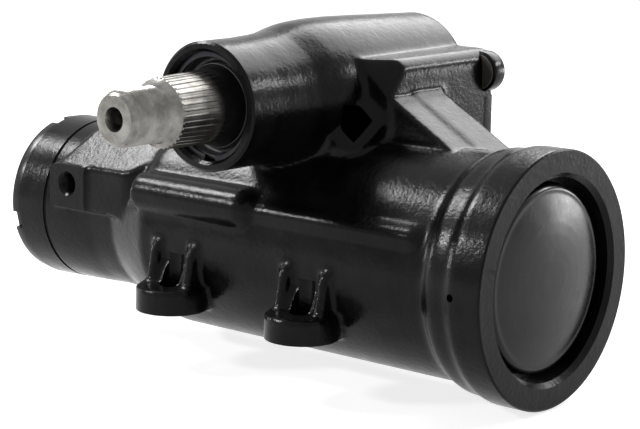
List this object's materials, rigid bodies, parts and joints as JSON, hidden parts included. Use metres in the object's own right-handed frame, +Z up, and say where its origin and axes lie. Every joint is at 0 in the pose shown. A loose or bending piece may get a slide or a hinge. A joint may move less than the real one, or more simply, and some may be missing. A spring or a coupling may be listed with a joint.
{
  "type": "power steering gearbox",
  "caption": "Black power steering gearbox of the recirculating ball kind: long barrel with a domed end, a tower with a splined pitman shaft, ears and hose ports.",
  "frame": {"origin": "centre of the bounding box's base, below the barrel", "axes": "+X along the barrel towards the domed end, -Y along the pitman shaft towards its splined end, +Z up"},
  "size_m": [0.328, 0.2144, 0.1575],
  "materials": {
    "black_paint": "semi-gloss black paint over a fine cast texture",
    "bare_steel": "bright turned and ground steel",
    "hard_steel": "hardened steel, ground",
    "steel": "plain machined or pressed steel",
    "bronze": "dull bearing bronze",
    "brass": "turned brass",
    "rubber": "black nitrile rubber",
    "seal_plastic": "dark filled PTFE",
    "fibre": "grey-black gasket fibre"
  },
  "bodies": {
    "housing": {"adjuster_lock_nut": "black_paint", "adjuster_plug": "steel", "adjuster_plug_o_ring": "rubber", "end_plug": "black_paint", "end_plug_o_ring": "rubber", "end_plug_retaining_ring": "hard_steel", "gear_housing": "black_paint", "lash_adjuster_lock_nut": "hard_steel", "lower_thrust_bearing": "steel", "lower_thrust_race_a": "hard_steel", "lower_thrust_race_b": "hard_steel", "pressure_port_seat": "brass", "return_port_seat": "brass", "sector_inner_seal": "rubber", "sector_needle_bearing": "hard_steel", "sector_outer_seal": "rubber", "sector_seal_washer": "steel", "sector_snap_ring": "hard_steel", "side_cover": "black_paint", "side_cover_bolt_1": "steel", "side_cover_bolt_2": "steel", "side_cover_bolt_3": "steel", "side_cover_bolt_4": "steel", "side_cover_bushing": "bronze", "side_cover_gasket": "fibre", "stub_shaft_bearing": "hard_steel", "stub_shaft_dust_seal": "rubber", "stub_shaft_seal": "rubber", "stub_shaft_snap_ring": "hard_steel", "upper_thrust_bearing": "steel", "upper_thrust_race_a": "hard_steel", "upper_thrust_race_b": "hard_steel"},
    "worm": {"worm_shaft": "hard_steel", "valve_sleeve": "hard_steel", "valve_sleeve_ring_1": "seal_plastic", "valve_sleeve_ring_2": "seal_plastic", "valve_sleeve_ring_3": "seal_plastic"},
    "input": {"stub_shaft": "steel", "torsion_bar": "hard_steel", "torsion_bar_pin": "hard_steel"},
    "rack": {"rack_piston": "hard_steel", "piston_ring": "seal_plastic", "rack_piston_plug": "steel", "ball_return_guide": "steel", "guide_clamp": "steel", "guide_clamp_screw_1": "steel", "guide_clamp_screw_2": "steel", "ball_train": "bare_steel"},
    "sector": {"sector_shaft": "bare_steel"},
    "adjuster": {"lash_adjuster_screw": "hard_steel"}
  },
  "joints": [
    {"name": "worm_spin", "type": "hinge", "parent": "housing", "child": "worm", "pos_m": [0.033, 0.0224, 0.056], "axis": [1, 0, 0], "range_deg": [-540, 540]},
    {"name": "valve_twist", "type": "hinge", "parent": "worm", "child": "input", "pos_m": [0.033, 0.0224, 0.056], "axis": [1, 0, 0], "range_deg": [-7, 7], "stiffness_Nm_per_rad": 80},
    {"name": "rack_slide", "type": "slide", "parent": "housing", "child": "rack", "axis": [1, 0, 0], "range_m": [-0.0243, 0.0243]},
    {"name": "sector_swing", "type": "hinge", "parent": "housing", "child": "sector", "pos_m": [0.033, 0.0224, 0.124], "axis": [0, 1, 0], "range_deg": [-38.6, 38.6]},
    {"name": "lash_adjust", "type": "hinge", "parent": "housing", "child": "adjuster", "pos_m": [0.033, 0.0224, 0.124], "axis": [0, 1, 0], "range_deg": [-180, 180]}
  ],
  "couplings": [
    {"joint": "rack_slide", "follows": "worm_spin", "m_per_rad": -0.0025714},
    {"joint": "sector_swing", "follows": "worm_spin", "ratio": 0.071429}
  ]
}
